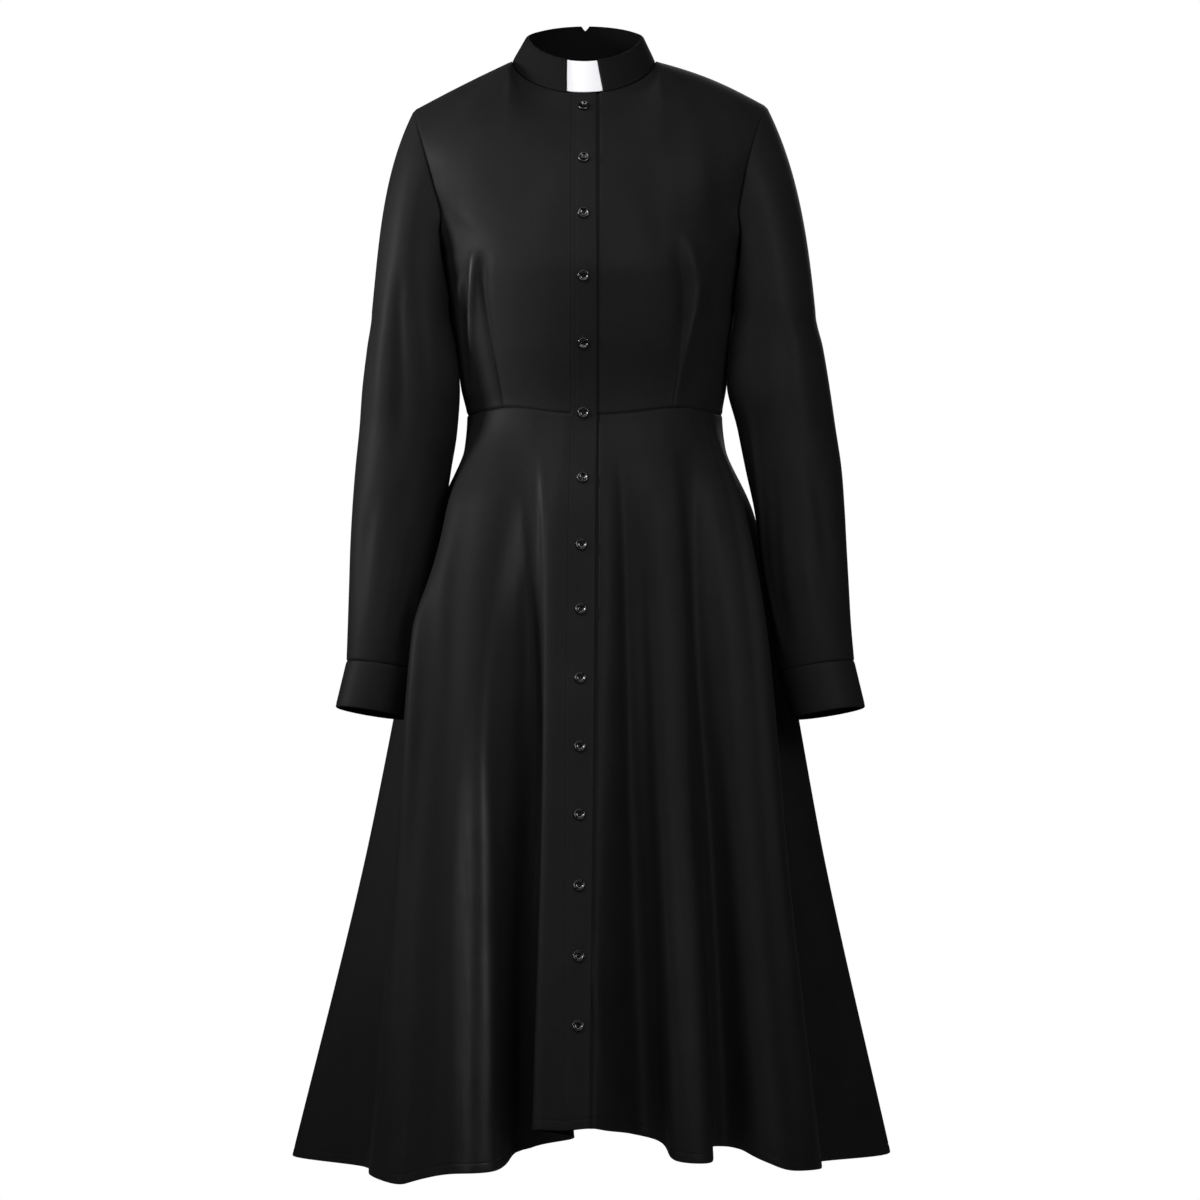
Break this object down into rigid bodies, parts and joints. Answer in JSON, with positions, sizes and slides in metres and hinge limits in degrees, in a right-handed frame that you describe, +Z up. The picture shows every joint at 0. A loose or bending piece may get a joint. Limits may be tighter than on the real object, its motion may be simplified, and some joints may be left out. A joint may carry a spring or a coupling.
{
  "type": "clergy dress",
  "caption": "Long-sleeved clergy dress in its worn form: fitted bodice, flared skirt, buttoned placket, cuffs, and a band collar with a white tab.",
  "frame": {"origin": "middle of the neck base, at the height of the high shoulder points, where the wearer's neck and shoulders carry the dress", "axes": "+Z up along the body, -Y towards the buttoned front, +X towards the wearer's left"},
  "size_m": [0.637, 0.5558, 1.2014],
  "materials": {
    "crepe": "black satin-backed crepe, soft sheen",
    "tab": "smooth white",
    "buttons": "polished black"
  },
  "bodies": {
    "root": {"bodice_front_right": "crepe", "bodice_front_left": "crepe", "bodice_back": "crepe", "skirt_front_right": "crepe", "skirt_front_left": "crepe", "skirt_back": "crepe", "placket": "crepe", "sleeve_right": "crepe", "sleeve_left": "crepe", "cuff_right": "crepe", "cuff_left": "crepe", "collar": "crepe", "collar_tab": "tab", "button_01": "buttons", "button_02": "buttons", "button_03": "buttons", "button_04": "buttons", "button_05": "buttons", "button_06": "buttons", "button_07": "buttons", "button_08": "buttons", "button_09": "buttons", "button_10": "buttons", "button_11": "buttons", "button_12": "buttons", "button_13": "buttons", "button_14": "buttons", "button_15": "buttons", "cuff_button_right": "buttons", "cuff_button_left": "buttons"}
  },
  "joints": []
}
